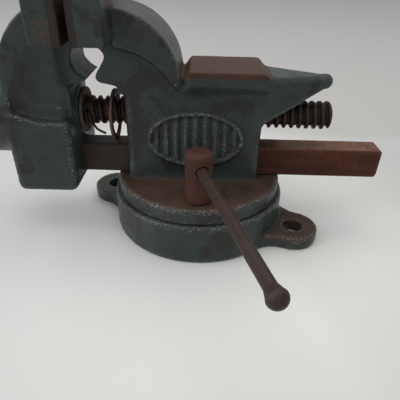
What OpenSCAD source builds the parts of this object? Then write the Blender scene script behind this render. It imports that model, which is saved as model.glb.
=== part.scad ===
// Swivel-base bench vise with pipe jaws and a small anvil.
// Frame: millimetres, +Z up, origin on the bench under the swivel axis,
// +X along the screw towards the anvil horn, -Y is the side with the swivel lock.
// The vise stands nearly closed, as left on a bench.

/* [Base] */
// Diameter of the round base casting
base_d = 122; // [112:1:150]
// Height of the base casting
base_h = 28.2; // [26:0.1:40]
// Thickness of the two bench lugs
lug_t = 10; // [8:0.5:16]
// Distance from the edge of the round base out to a bench bolt
bolt_setback = 12; // [9:0.5:20]
// Diameter of a bench bolt hole
bolt_hole_d = 13.5; // [8:0.5:16]
// Radius of the rounded lug ends
lug_r = 17.5; // [14:0.5:20]
// Direction of the first lug, seen from above
lug_turn = -22; // [-90:1:90]
// Radius of the hollow blend between a lug and the base
lug_blend_r = 20; // [16:1:30]

/* [Swivel] */
// Ring of base left showing round the swivel plate
plate_inset = 3.2; // [1:0.1:6]
// Thickness of the swivel plate
plate_t = 10.5; // [9:0.5:16]
// Distance of the swivel lock from the edge of the swivel plate
lock_inset = 14.8; // [14:0.1:20]
// Diameter of the swivel lock nut
lock_d = 17.4; // [14:0.1:22]
// Height of the swivel lock nut
lock_h = 34; // [28:0.5:44]
// Diameter of the swivel lock stud
stud_d = 10; // [8:0.5:11]
// Diameter of the lock handle
lock_rod_d = 7; // [5:0.5:9]
// Distance from the lock nut to the middle of the outer handle end
lock_reach = 112.4; // [80:0.1:140]
// Direction of the lock handle, seen from above
lock_turn = -73.5; // [-110:0.1:-40]
// Diameter of the central pivot bolt
pivot_d = 12; // [10:0.5:14]

/* [Body] */
// Length of the body block along the screw
body_l = 89; // [76:1:110]
// Distance of the body's jaw side from the swivel axis
body_back = 48.5; // [40:0.5:54]
// Thickness of the body block across the screw
body_w = 36; // [34:1:44]
// Width across the arch and the anvil
arch_w = 46; // [40:1:56]
// Outer radius of the arch behind the fixed jaw
arch_r = 42.5; // [40:0.5:46]
// Height of the raised band at the top of the arch
arch_band = 21.7; // [14:0.1:24]
// Length of the flat anvil face
anvil_l = 46.5; // [36:0.5:60]
// Length of the horn beyond the body
horn_l = 45; // [36:1:60]

/* [Jaws] */
// Width of the jaws
jaw_w = 89; // [70:1:115]
// Height of the jaws
jaw_h = 24; // [16:0.5:28]
// Opening between the jaws as the vise stands
jaw_gap = 4.4; // [4.3:0.1:10]
// Thickness of a jaw plate
plate_steel_t = 4; // [3:0.5:6]
// Thickness of the fixed jaw behind its plate
fixed_jaw_t = 14.3; // [12:0.1:20]
// Thickness of the sliding jaw behind its plate
sliding_jaw_t = 13.8; // [12:0.1:20]
// Overhang of the fixed jaw beyond the body block
jaw_reach = 20.3; // [18:0.1:26]
// Height of the jaws' lower edge above the screw
jaw_lift = 48.5; // [46:0.5:60]
// Width of the pipe jaws
pipe_w = 33; // [24:1:36]
// Diameter of a jaw plate screw
jaw_screw_d = 6; // [4:0.5:8]
// Distance of a jaw plate screw from the middle
jaw_screw_y = 28; // [20:1:31]

/* [Slide] */
// Width of the slide bar
bar_w = 17; // [12:0.5:20]
// Height of the slide bar
bar_h = 21; // [16:0.5:26]
// Reach of the slide bar beyond the body
bar_reach = 86.9; // [80:0.1:110]
// Width of the sliding jaw's box round the bar
box_w = 60; // [50:1:72]
// Length of the sliding jaw's box
box_l = 41; // [38:1:50]
// Outer radius of the curved back of the sliding jaw
back_r = 46; // [44:0.5:48]
// Width of the curved back of the sliding jaw
back_w = 46; // [40:1:50]

/* [Screw] */
// Outside diameter of the screw
screw_d = 18.8; // [14:0.1:23]
// Thread pitch
pitch = 5.08; // [4:0.01:6]
// Depth of the thread
thread_depth = 2.4; // [1.5:0.1:2.6]
// Gap between the slide bar and the screw
screw_over_bar = 12.3; // [12:0.1:20]
// Reach of the screw beyond the body
screw_reach = 46.5; // [40:0.5:70]
// Length of the screw nut
nut_l = 40; // [30:1:50]
// Diameter of the screw's head
head_d = 26; // [24:0.5:32]
// Length of the screw's head
head_l = 24; // [20:0.5:30]
// Diameter of the screw handle
rod_d = 9.5; // [8:0.5:12]
// Length of the screw handle without its ends
rod_l = 144; // [120:1:180]

/* [Fits] */
// Radial clearance of a turning shaft in its bore
run_gap = 0.06; // [0.02:0.01:0.1]
// Clearance between sliding or stacked faces of pieces that move apart
slide_gap = 0.3; // [0.2:0.05:0.5]
// Clearance of a pin or screw in the hole that it is fixed in
set_gap = 0.04; // [0.02:0.01:0.08]

/* [Hidden] */
$fn = 64;

cast_paint = "darkslategray";
dark_steel = "dimgray";
rusty_steel = "sienna";
bright_steel = "silver";

eps = 0.01;

// Heights, from the bench up
rim_foot = 3;
base_r = base_d / 2;
plate_r = base_r - plate_inset;
plate_z0 = base_h + slide_gap;
plate_z1 = plate_z0 + plate_t;
bar_z0 = plate_z1 + slide_gap;
bar_z1 = bar_z0 + bar_h;
screw_r = screw_d / 2;
screw_z = bar_z1 + screw_over_bar + screw_r;
anvil_z = screw_z + 32;
horn_z = anvil_z - 3.5;
ledge_z1 = anvil_z - 4.3;
ledge_z0 = anvil_z - 8.5;
flare_z = anvil_z - 16;
jaw_z0 = screw_z + jaw_lift;
jaw_z1 = jaw_z0 + jaw_h;
arch_z = screw_z + 24;
band_drop = 23.5;
back_z = screw_z + 24.5;

// Stations along the screw
body_x0 = -body_back;
body_x1 = body_x0 + body_l;
fixed_face_x = body_x0 - jaw_reach;
fixed_seat_x = fixed_face_x + plate_steel_t;
fixed_back_x = fixed_seat_x + fixed_jaw_t;
arch_x = fixed_back_x - 4.5;
sliding_face_x = fixed_face_x - jaw_gap;
sliding_seat_x = sliding_face_x - plate_steel_t;
sliding_back_x = sliding_seat_x - sliding_jaw_t;
back_x = sliding_face_x - 1.8;
box_x1 = sliding_face_x - 7.8;
box_x0 = box_x1 - box_l;
web_x1 = box_x1 - 4.5;
neck_x1 = box_x1 + 2.4;
front_x = box_x0 - 16;
bar_x1 = body_x1 + bar_reach;
bar_x0 = box_x0 + 8;
screw_x1 = body_x1 + screw_reach;
washer_t = 2;
head_x1 = front_x - slide_gap - washer_t;
head_x0 = head_x1 - head_l;
cross_x = (head_x0 + head_x1) / 2;
anvil_x1 = body_x1 - 1;
anvil_x0 = anvil_x1 - anvil_l;

// The retaining washer and the split pin behind it, on the jaw side of the sliding jaw
keep_r = screw_r + 5.6;
keep_x0 = neck_x1 + slide_gap;
keep_x1 = keep_x0 + washer_t;
split_pin_d = 3.2;
split_pin_x = keep_x1 + slide_gap + split_pin_d / 2;
thread_x0 = split_pin_x + split_pin_d;
pin_turn = -100;

// The thread: whole turns counted back from the screw's free end
thread_l = screw_x1 - thread_x0;
thread_turns = floor(thread_l / pitch);
lead_in = thread_l - thread_turns * pitch;

// Loose washer hanging on the third ridge of the thread
loose_hole_r = screw_r + 3.6;
loose_r = loose_hole_r + 4.4;
loose_x0 = thread_x0 + lead_in + 2.5 * pitch - washer_t / 2;
loose_z = screw_z + screw_r + slide_gap - loose_hole_r;

// Swivel lock
lock_y = -(plate_r - lock_inset);
lock_r = lock_d / 2;
lock_z0 = plate_z1 + slide_gap;
lock_z1 = lock_z0 + lock_h;
lock_rod_z = lock_z0 + 23.2;
lock_end_r = 5.2;
slot_floor = 11;
slot_roof = base_h - 8.2;
slot_half = stud_d / 2 + 0.5;
tee_half_r = stud_d / 2 + 4;
tee_half_w = stud_d / 2 + 2;

// Slide bar pin, jaw plate screws and nut key
bar_pin_d = 8;
bar_pin_x = (bar_x0 + box_x1) / 2;
jaw_screw_l = 12;
nut_r = screw_r + 4.1;
key_d = 4.5;
key_l = 14;

// ---- shared shapes ----

// Outline in X and Z, w thick across the vise
module across(w) {
    rotate([90, 0, 0]) linear_extrude(w, center = true) children();
}

// Outline in Y and Z, swept from x0 to x1
module along(x0, x1) {
    translate([x0, 0, 0]) rotate([90, 0, 90]) linear_extrude(x1 - x0) children();
}

// Cylinder on an axis parallel to the screw
module x_rod(x0, x1, r, z = screw_z) {
    translate([x0, 0, z]) rotate([0, 90, 0]) cylinder(h = x1 - x0, r = r);
}

// Upright cylinder
module z_rod(z0, z1, r) {
    translate([0, 0, z0]) cylinder(h = z1 - z0, r = r);
}

// Rectangle with round corners
module rounded(x0, x1, y0, y1, r) {
    translate([x0 + r, y0]) square([x1 - x0 - 2 * r, y1 - y0]);
    translate([x0, y0 + r]) square([x1 - x0, y1 - y0 - 2 * r]);
    for (x = [x0 + r, x1 - r], y = [y0 + r, y1 - r]) translate([x, y]) circle(r);
}

// Disc on the swivel axis with round edges of radius r0 below and r1 above
module soft_disc(r, z0, z1, r0, r1) {
    lower = [for (a = [-90:15:0]) [r - r0 + r0 * cos(a), z0 + r0 + r0 * sin(a)]];
    upper = [for (a = [0:15:90]) [r - r1 + r1 * cos(a), z1 - r1 + r1 * sin(a)]];
    rotate_extrude($fn = 128) polygon(concat([[0, z0]], lower, upper, [[0, z1]]));
}

// Row of V grooves from p to q, cut to a depth, in an X and Z outline
module groove_row(p, q, count, depth) {
    for (i = [0:count - 1]) {
        t = (i + 0.5) / count;
        translate(p + (q - p) * t) rotate(45) square(depth * sqrt(2), center = true);
    }
}

// Countersunk screw on the X axis, head at x = 0, running towards +X
module plate_screw(gap = 0) {
    head_r = jaw_screw_d * 0.95;
    rotate([0, 90, 0]) cylinder(h = 3 + gap, r1 = head_r + gap, r2 = jaw_screw_d / 2 + gap);
    rotate([0, 90, 0]) cylinder(h = plate_steel_t + jaw_screw_l + gap, r = jaw_screw_d / 2 + gap);
}

// Both screws of a jaw plate, starting at face x and running towards side (1 or -1)
module plate_screw_pair(x, side, gap = 0) {
    for (y = [-jaw_screw_y, jaw_screw_y])
        translate([x, y, (jaw_z0 + jaw_z1) / 2])
            if (side > 0) plate_screw(gap);
            else mirror([1, 0, 0]) plate_screw(gap);
}

// ---- base ----

// One bench lug with its hollow blends into the base, pointing to +X
module lug_outline() {
    reach = base_r + bolt_setback;
    bx = (pow(base_r + lug_blend_r, 2) - pow(lug_r + lug_blend_r, 2) + pow(reach, 2)) / (2 * reach);
    by = sqrt(pow(base_r + lug_blend_r, 2) - pow(bx, 2));
    difference() {
        polygon([[0, 0], [bx, by], [reach, 0], [bx, -by]]);
        for (s = [-1, 1]) translate([bx, s * by]) circle(lug_blend_r);
    }
    translate([reach, 0]) circle(lug_r);
}

module swivel_base() {
    reach = base_r + bolt_setback;
    ring_r = -lock_y;
    color(cast_paint) difference() {
        union() {
            soft_disc(base_r, 0, base_h, 0.8, 1.6);
            for (turn = [lug_turn, lug_turn + 180])
                rotate(turn) linear_extrude(lug_t) lug_outline();
        }
        for (turn = [lug_turn, lug_turn + 180])
            rotate(turn) translate([reach, 0, -1]) cylinder(h = lug_t + 2, d = bolt_hole_d);
        // shallow recess, so that the base stands on its rim
        z_rod(-1, rim_foot, base_r - 8);
        // ring slot for the swivel lock, wider below for the stud's head
        rotate_extrude($fn = 128) {
            translate([ring_r - slot_half, slot_roof - eps]) square([2 * slot_half, base_h]);
            translate([ring_r - tee_half_r - 1, slot_floor])
                square([2 * (tee_half_r + 1), slot_roof - slot_floor]);
        }
        // hole in the slot's floor, where the stud goes in
        translate([0, ring_r, 0]) cylinder(h = slot_floor + 1, r = tee_half_r + 1.4);
        // pivot bore and the space for the bolt's head
        z_rod(0, base_h + 1, pivot_d / 2 + run_gap);
        z_rod(-1, slot_floor - 0.7, pivot_d + 2.5);
    }
}

module pivot_bolt() {
    head_z = 2;
    color(dark_steel) {
        translate([0, 0, head_z]) cylinder(h = 6, r = pivot_d * 0.9, $fn = 6);
        z_rod(head_z + 6 - eps, plate_z1 - 0.5, pivot_d / 2);
    }
}

module pivot_washer() {
    color(dark_steel) difference() {
        z_rod(8 + set_gap, 10, pivot_d + 1);
        z_rod(7, 11, pivot_d / 2 + set_gap);
    }
}

module lock_stud() {
    head_z = slot_floor + slide_gap;
    color(dark_steel) translate([0, lock_y, 0]) {
        translate([-tee_half_w, -tee_half_r, head_z])
            cube([2 * tee_half_w, 2 * tee_half_r, slot_roof - head_z - slide_gap]);
        z_rod(head_z, lock_z0 + 17, stud_d / 2);
    }
}

// ---- body with the fixed jaw, arch, anvil and horn ----

// Cross-section of the arch and anvil: full width above, sloping in to the body below
module arch_section() {
    polygon([[-arch_w / 2, jaw_z1], [-arch_w / 2, ledge_z0], [-body_w / 2 + 1, flare_z],
             [body_w / 2 - 1, flare_z], [arch_w / 2, ledge_z0], [arch_w / 2, jaw_z1]]);
}

// Raised band of the arch: its inner edge is a circle set lower, so the band narrows downwards
module arch_band_outline() {
    difference() {
        intersection() {
            translate([arch_x, arch_z]) circle(arch_r, $fn = 128);
            translate([fixed_back_x - 1, flare_z]) square([arch_r, arch_r + 20]);
        }
        translate([arch_x, arch_z - band_drop]) circle(arch_r - arch_band + band_drop, $fn = 128);
    }
}

module arch_web_outline() {
    intersection() {
        translate([arch_x, arch_z]) circle(arch_r - 1, $fn = 128);
        translate([fixed_back_x - 1, flare_z]) square([arch_r, arch_r + 20]);
    }
}

module anvil_face_outline() {
    polygon([[anvil_x0 - 4, ledge_z1], [anvil_x0, anvil_z], [anvil_x1 - 1, anvil_z],
             [anvil_x1 + 3.5, ledge_z1]]);
}

module anvil_ledge_outline() {
    polygon([[anvil_x0 - 4, ledge_z1 + eps], [anvil_x0 - 4, ledge_z0], [anvil_x0 - 10, flare_z],
             [body_x1 + 2, flare_z], [body_x1 + 2, ledge_z1 + eps]]);
}

// Rib under the horn that runs down into the end of the body
module horn_rib() {
    tip_x = body_x1 + horn_l - 4;
    intersection() {
        across(body_w) polygon([[body_x1 - 6, screw_z - 4], [body_x1, screw_z - 1.5],
                                [tip_x, screw_z + 20], [tip_x, horn_z - 3],
                                [body_x1 - 6, horn_z - 3]]);
        translate([0, 0, screw_z - 10]) linear_extrude(60)
            polygon([[body_x1 - 6, -body_w / 2], [body_x1 + 2, -body_w / 2], [tip_x, -5],
                     [tip_x, 5], [body_x1 + 2, body_w / 2], [body_x1 - 6, body_w / 2]]);
    }
}

// Tapered horn with bevelled upper edges and a round tip
module horn() {
    tip_r = 5.2;
    neck_r = 0.93 * tip_r;
    tip_x = body_x1 + horn_l - tip_r;
    tip_z = horn_z - tip_r - 0.5;
    half = arch_w / 2 - 2;
    root = [[half, -9], [half, -5], [half - 4, 0], [4 - half, 0], [-half, -5], [-half, -9]];
    turns = [-55, 0, 60, 120, 180, 235];
    polyhedron(
        points = concat([for (p = root) [body_x1 - 2, p.x, horn_z + p.y]],
                        [for (a = turns) [tip_x, neck_r * cos(a), tip_z + neck_r * sin(a)]]),
        faces = concat([[0, 1, 2, 3, 4, 5], [11, 10, 9, 8, 7, 6]],
                       [for (i = [0:5]) [i, i + 6, (i + 1) % 6 + 6]],
                       [for (i = [0:5]) [i, (i + 1) % 6 + 6, (i + 1) % 6]]));
    translate([tip_x, 0, tip_z]) sphere(tip_r);
}

// Pipe jaw under the fixed jaw: deep toothed seat that opens towards the sliding jaw
pipe_top = [fixed_face_x + 7.1, jaw_z0 - 5.4];
pipe_deep = [fixed_face_x + 10.4, jaw_z0 - 9.2];
pipe_low = [fixed_face_x + 10.2, jaw_z0 - 11.5];
pipe_tip = [fixed_face_x + 3.6, jaw_z0 - 21.9];

module fixed_pipe_outline() {
    difference() {
        polygon([[fixed_seat_x, jaw_z0 + 1], [fixed_seat_x, jaw_z0 - 3], pipe_top, pipe_deep,
                 pipe_low, pipe_tip, pipe_tip + [0.9, -2.7], pipe_tip + [2.9, -4.1],
                 pipe_tip + [8.9, -5.2], [body_x0, pipe_tip.y - 6.9], [body_x0 + 8, flare_z - 4],
                 [body_x0 + 8, jaw_z0 + 1]]);
        groove_row(pipe_top, pipe_deep, 3, 0.8);
        groove_row(pipe_low, pipe_tip, 6, 0.8);
    }
}

module fixed_jaw_body() {
    corner_r = 5;
    color(cast_paint) difference() {
        union() {
            soft_disc(plate_r, plate_z0, plate_z1, 0.8, 2.4);
            translate([0, 0, plate_z1 - 1]) linear_extrude(ledge_z1 - plate_z1)
                rounded(body_x0, body_x1, -body_w / 2, body_w / 2, corner_r);
            across(body_w) arch_web_outline();
            intersection() {
                across(arch_w) arch_band_outline();
                along(fixed_back_x - 1, body_x1) arch_section();
            }
            intersection() {
                across(arch_w) union() {
                    anvil_face_outline();
                    anvil_ledge_outline();
                }
                along(anvil_x0 - 12, body_x1 + 6) arch_section();
                translate([0, 0, flare_z - 1]) linear_extrude(40)
                    polygon([[anvil_x0 - 12, -arch_w / 2 + 8], [anvil_x0 + 1, -arch_w / 2],
                             [anvil_x1, -arch_w / 2], [anvil_x1 + 6, -arch_w / 2 + 6],
                             [anvil_x1 + 6, arch_w / 2 - 6], [anvil_x1, arch_w / 2],
                             [anvil_x0 + 1, arch_w / 2], [anvil_x0 - 12, arch_w / 2 - 8]]);
            }
            horn_rib();
            horn();
            side_panel();
            across(pipe_w) fixed_pipe_outline();
            translate([fixed_seat_x, -jaw_w / 2, jaw_z0]) cube([fixed_jaw_t, jaw_w, jaw_h]);
        }
        // way for the slide bar
        translate([body_x0 - 20, -bar_w / 2 - slide_gap, plate_z1])
            cube([body_l + 40, bar_w + 2 * slide_gap, bar_h + 2 * slide_gap]);
        // seat of the screw nut with its key, and the clearance hole behind it
        x_rod(body_x0 - 1, body_x0 + nut_l, nut_r + set_gap);
        x_rod(body_x0 - 1, body_x0 + key_l, key_d / 2 + set_gap, screw_z - nut_r);
        x_rod(body_x0, screw_x1 + 10, screw_r + 0.8);
        // pivot bolt and lock stud
        z_rod(plate_z0 - 1, plate_z1 + 1, pivot_d / 2 + set_gap);
        translate([0, lock_y, 0]) z_rod(plate_z0 - 1, plate_z1 + 1, stud_d / 2 + set_gap);
        plate_screw_pair(fixed_face_x, 1, set_gap);
    }
}

// Raised oval panel cast on the near side of the body, with plain upright ribs
module side_panel() {
    half_l = 31.5;
    half_h = 19;
    panel_x = (body_x0 + body_x1) / 2 + 1.2;
    panel_z = plate_z1 + 30.8;
    rib_count = 9;
    rib_step = 2 * half_l / (rib_count + 1);
    translate([panel_x, -body_w / 2 + eps, panel_z]) rotate([90, 0, 0]) {
        // the panel is an ellipse: a circle flattened in height
        difference() {
            linear_extrude(2.4) scale([1, half_h / half_l]) circle(half_l);
            translate([0, 0, 0.6]) linear_extrude(3)
                scale([1, (half_h - 2.6) / (half_l - 2.6)]) circle(half_l - 2.6);
        }
        for (i = [1:rib_count]) {
            x = -half_l + i * rib_step;
            reach = (half_h - 4) * sqrt(1 - pow(x / (half_l - 2), 2));
            translate([x - 1.1, -reach, 0.5]) cube([2.2, 2 * reach, 1.5]);
        }
    }
}

module spindle_nut() {
    color(dark_steel) difference() {
        x_rod(body_x0, body_x0 + nut_l, nut_r);
        x_rod(body_x0 - 1, body_x0 + nut_l + 1, screw_r + run_gap);
        x_rod(body_x0 - 1, body_x0 + key_l, key_d / 2 + set_gap, screw_z - nut_r);
    }
}

module nut_key() {
    color(dark_steel) x_rod(body_x0, body_x0 + key_l - 0.2, key_d / 2, screw_z - nut_r);
}

module fixed_jaw_plate() {
    color(bright_steel) difference() {
        translate([fixed_face_x, -jaw_w / 2, jaw_z0]) cube([plate_steel_t, jaw_w, jaw_h]);
        plate_screw_pair(fixed_face_x, 1, set_gap);
    }
}

module fixed_plate_screws() {
    color(dark_steel) plate_screw_pair(fixed_face_x, 1);
}

// ---- sliding jaw ----

slide_pipe_top = [sliding_face_x - 3.6, jaw_z0 - 5.7];
slide_pipe_deep = [sliding_face_x - 5.7, jaw_z0 - 12.6];
slide_pipe_low = [sliding_face_x - 5.3, jaw_z0 - 17];
slide_pipe_mid = [sliding_face_x - 1.7, jaw_z0 - 21.2];
slide_pipe_tip = [sliding_face_x + 3, jaw_z0 - 24.3];

module sliding_pipe_outline() {
    difference() {
        polygon([[sliding_seat_x, jaw_z0 + 1], [sliding_seat_x, jaw_z0 - 3], slide_pipe_top,
                 slide_pipe_deep, slide_pipe_low, slide_pipe_mid, slide_pipe_tip,
                 slide_pipe_tip - [5.9, 2.2], [web_x1 - 4, slide_pipe_tip.y - 5.4],
                 [web_x1 - 4, jaw_z0 + 1]]);
        groove_row(slide_pipe_top, slide_pipe_deep, 4, 0.8);
        groove_row(slide_pipe_low, slide_pipe_mid, 3, 0.8);
        groove_row(slide_pipe_mid, slide_pipe_tip, 3, 0.8);
    }
}

module back_outline() {
    intersection() {
        translate([back_x, back_z]) circle(back_r, $fn = 128);
        translate([back_x - back_r, screw_z - 2]) square([web_x1 - back_x + back_r, 80]);
    }
}

module box_outline() {
    intersection() {
        rounded(box_x0, box_x1, plate_z1 - 4.5, screw_z + 10, 5);
        polygon([[box_x0 - 1, 0], [box_x1 + 1, 0], [box_x1 + 1, screw_z + 1],
                 [box_x0 + 22, screw_z + 1], [box_x0 + 10, screw_z + 5],
                 [box_x0 - 1, screw_z + 6.5]]);
    }
}

module sliding_jaw() {
    rim_w = 14;
    color(cast_paint) difference() {
        union() {
            difference() {
                across(back_w) back_outline();
                // shallow panel inside the rim, on both sides
                for (s = [-1, 1]) translate([0, s * (back_w / 2), 0]) across(4)
                    difference() {
                        translate([back_x, back_z]) circle(back_r - rim_w);
                        translate([back_x - back_r, 0]) square([2 * back_r, screw_z + 9]);
                    }
            }
            intersection() {
                across(box_w) box_outline();
                linear_extrude(2 * screw_z) rounded(box_x0, box_x1, -box_w / 2, box_w / 2, 4);
            }
            translate([web_x1 - 5, -20, screw_z - 2])
                cube([box_x1 - web_x1 + 5, 40, slide_pipe_tip.y - screw_z - 1]);
            across(pipe_w) sliding_pipe_outline();
            x_rod(box_x1 - 3, neck_x1, keep_r + 2);
            x_rod(front_x, box_x0 + 6, box_w / 2 - 0.5);
            translate([sliding_back_x, -jaw_w / 2, jaw_z0]) cube([sliding_jaw_t, jaw_w, jaw_h]);
        }
        // socket of the slide bar and the hole for its pin
        translate([bar_x0 - set_gap, -bar_w / 2 - set_gap, bar_z0 - set_gap])
            cube([box_l, bar_w + 2 * set_gap, bar_h + 2 * set_gap]);
        translate([bar_pin_x, 0, 0]) z_rod(plate_z1 - 10, bar_z1 + 6, bar_pin_d / 2 + set_gap);
        // journal of the screw
        x_rod(front_x - 5, neck_x1 + 5, screw_r + run_gap);
        plate_screw_pair(sliding_face_x, -1, set_gap);
    }
}

module sliding_jaw_plate() {
    color(bright_steel) difference() {
        translate([sliding_seat_x, -jaw_w / 2, jaw_z0]) cube([plate_steel_t, jaw_w, jaw_h]);
        plate_screw_pair(sliding_face_x, -1, set_gap);
    }
}

module sliding_plate_screws() {
    color(dark_steel) plate_screw_pair(sliding_face_x, -1);
}

module slide_bar() {
    end_cut = 3;
    color(rusty_steel) difference() {
        along(bar_x0, bar_x1)
            rounded(-bar_w / 2, bar_w / 2, bar_z0, bar_z1, 1.2);
        translate([bar_pin_x, 0, 0]) z_rod(bar_z0 - 1, bar_z1 + 1, bar_pin_d / 2 + set_gap);
        // corners of the free end, worn off
        for (z = [bar_z0, bar_z1])
            translate([bar_x1, 0, z]) rotate([0, 45, 0])
                cube([end_cut, 2 * bar_w, end_cut], center = true);
        for (s = [-1, 1])
            translate([bar_x1, s * bar_w / 2, 0]) rotate(45)
                cube([end_cut, end_cut, 4 * bar_z1], center = true);
    }
}

module slide_bar_pin() {
    color(dark_steel) translate([bar_pin_x, 0, 0]) z_rod(plate_z1 - 4.3, bar_z1 + 5, bar_pin_d / 2);
}

// ---- screw and what turns with it ----

// Half outline of the thread: one rounded ridge for each pitch
function ridge(z) = [for (p = [[0, 0], [0.22, 0.25], [0.36, 0.85], [0.5, 1], [0.64, 0.85],
                               [0.78, 0.25]])
                     [screw_r - thread_depth * (1 - p.y), z + p.x * pitch]];

module spindle() {
    root_r = screw_r - thread_depth;
    thread = [for (i = [0:thread_turns - 1]) each ridge(lead_in + i * pitch)];
    color(dark_steel) difference() {
        union() {
            translate([thread_x0, 0, screw_z]) rotate([0, 90, 0]) rotate_extrude()
                polygon(concat([[0, 0], [root_r, 0]], thread,
                               [[root_r, thread_l], [0, thread_l]]));
            x_rod(head_x1 - 1, thread_x0 + eps, screw_r);
            // head with round edges and a groove next to the washer
            translate([head_x0, 0, screw_z]) rotate([0, 90, 0]) rotate_extrude()
                polygon([[0, 0], [head_d / 2 - 3, 0], [head_d / 2 - 0.9, 0.9], [head_d / 2, 3],
                         [head_d / 2, head_l - 1.5], [head_d / 2 - 1.5, head_l], [0, head_l]]);
        }
        translate([cross_x, 0, screw_z]) rotate([90, 0, 0])
            cylinder(h = 2 * head_d, d = rod_d + 0.8, center = true);
        translate([split_pin_x, 0, screw_z]) rotate([pin_turn, 0, 0])
            z_rod(-screw_d, screw_d, split_pin_d / 2 + set_gap);
    }
}

module ring_on_screw(x0, t, r, hole_r, z = screw_z) {
    difference() {
        x_rod(x0, x0 + t, r, z);
        x_rod(x0 - 1, x0 + t + 1, hole_r, z);
    }
}

module thrust_washer() {
    color(dark_steel) ring_on_screw(head_x1, washer_t, head_d / 2 + 2, screw_r + set_gap);
}

module retaining_washer() {
    color(rusty_steel) ring_on_screw(keep_x0, washer_t, keep_r, screw_r + set_gap);
}

// Round wire from p to q
module wire(p, q, r) {
    run = q - p;
    translate(p) rotate([0, acos(run.z / norm(run)), atan2(run.y, run.x)])
        cylinder(h = norm(run), r = r);
}

// Split pin: eye behind the screw, two legs in front of it, the longer one bent outwards
module split_pin() {
    eye_r = 2.6;
    wire_r = 0.8;
    out = screw_r + 1.4;
    foot = [0, out * sin(pin_turn), -out * cos(pin_turn)];
    knee = foot + [5.4, 0.4, -11.8];
    color(dark_steel) translate([split_pin_x, 0, screw_z]) {
        rotate([pin_turn, 0, 0]) {
            z_rod(-out, out, split_pin_d / 2);
            translate([0, 0, -out]) sphere(split_pin_d / 2);
            translate([0, 0, out + eye_r]) rotate([0, 90, 0])
                rotate_extrude() translate([eye_r, 0]) circle(wire_r);
        }
        wire(foot, knee, wire_r);
        wire(knee - [0.6, 0, 0], knee + [6, 0, -3.1], wire_r);
        wire(foot, foot + [1.1, -0.7, -10.8], wire_r);
    }
}

module spindle_handle() {
    color(dark_steel) translate([cross_x, 0, screw_z]) rotate([90, 0, 0])
        cylinder(h = rod_l, d = rod_d, center = true);
}

// Turned balls on the two ends of the handle
module spindle_handle_ends() {
    ball_r = rod_d * 0.8;
    color(dark_steel) for (s = [-1, 1]) difference() {
        translate([cross_x, s * rod_l / 2, screw_z]) sphere(ball_r);
        translate([cross_x, 0, screw_z]) rotate([90, 0, 0])
            cylinder(h = rod_l + 2 * set_gap, d = rod_d + 2 * set_gap, center = true);
    }
}

module loose_washer() {
    color(rusty_steel) ring_on_screw(loose_x0, washer_t, loose_r, loose_hole_r, loose_z);
}

// ---- swivel lock ----

module lock_nut() {
    color(rusty_steel) translate([0, lock_y, 0]) difference() {
        soft_disc(lock_r, lock_z0, lock_z1, 1, 3.2);
        z_rod(lock_z0 - 1, lock_z0 + 18, stud_d / 2 + run_gap);
        translate([0, 0, lock_rod_z]) rotate(lock_turn) rotate([0, 90, 0])
            cylinder(h = 2 * lock_d, d = lock_rod_d + 0.8, center = true);
    }
}

// Places its children on the lock handle's axis, with +X pointing outwards
module on_lock_handle() {
    translate([0, lock_y, lock_rod_z]) rotate(lock_turn) children();
}

module lock_handle() {
    color(dark_steel) on_lock_handle() rotate([0, 90, 0])
        translate([0, 0, -lock_r - 7]) cylinder(h = lock_reach + lock_r + 7, d = lock_rod_d);
}

// Upset end of the handle, a flared bell with a round nose
module lock_handle_outer_end() {
    end_l = 10;
    color(dark_steel) on_lock_handle() rotate([0, 90, 0]) difference() {
        translate([0, 0, lock_reach - 5]) rotate_extrude()
            polygon(concat([[0, 0], [lock_rod_d / 2 + 0.3, 0], [lock_end_r - 0.6, 3.4]],
                           [for (a = [0:15:90]) [lock_end_r * cos(a), 5 + (end_l - 5) * sin(a)]]));
        translate([0, 0, lock_reach - 6]) cylinder(h = 6 + set_gap, d = lock_rod_d + 2 * set_gap);
    }
}

module lock_handle_inner_end() {
    color(dark_steel) on_lock_handle() rotate([0, 90, 0]) difference() {
        translate([0, 0, -lock_r - 10]) cylinder(h = 4, r = lock_rod_d / 2 + 1.2);
        translate([0, 0, -lock_r - 7 - set_gap]) cylinder(h = 6, d = lock_rod_d + 2 * set_gap);
    }
}

swivel_base();
pivot_bolt();
pivot_washer();
lock_stud();
fixed_jaw_body();
spindle_nut();
nut_key();
fixed_jaw_plate();
fixed_plate_screws();
sliding_jaw();
sliding_jaw_plate();
sliding_plate_screws();
slide_bar();
slide_bar_pin();
spindle();
thrust_washer();
retaining_washer();
split_pin();
spindle_handle();
spindle_handle_ends();
loose_washer();
lock_nut();
lock_handle();
lock_handle_outer_end();
lock_handle_inner_end();
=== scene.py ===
import math

import bmesh
import bpy
import numpy as np
from mathutils import Matrix, Vector, noise


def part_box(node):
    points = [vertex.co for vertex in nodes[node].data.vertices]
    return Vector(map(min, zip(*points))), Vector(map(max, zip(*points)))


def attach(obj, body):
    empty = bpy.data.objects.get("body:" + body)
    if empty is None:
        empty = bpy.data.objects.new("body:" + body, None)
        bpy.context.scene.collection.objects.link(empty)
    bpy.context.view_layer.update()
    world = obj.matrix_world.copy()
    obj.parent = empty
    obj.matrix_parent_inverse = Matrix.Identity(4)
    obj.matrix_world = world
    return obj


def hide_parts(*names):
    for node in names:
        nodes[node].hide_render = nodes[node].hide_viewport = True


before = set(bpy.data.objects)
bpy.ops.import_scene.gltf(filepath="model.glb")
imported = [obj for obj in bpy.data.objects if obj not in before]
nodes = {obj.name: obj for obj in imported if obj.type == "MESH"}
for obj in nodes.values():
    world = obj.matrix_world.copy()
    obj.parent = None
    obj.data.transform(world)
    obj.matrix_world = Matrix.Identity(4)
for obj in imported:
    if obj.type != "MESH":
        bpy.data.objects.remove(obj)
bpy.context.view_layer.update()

mm = 0.001
scene = bpy.context.scene


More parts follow.
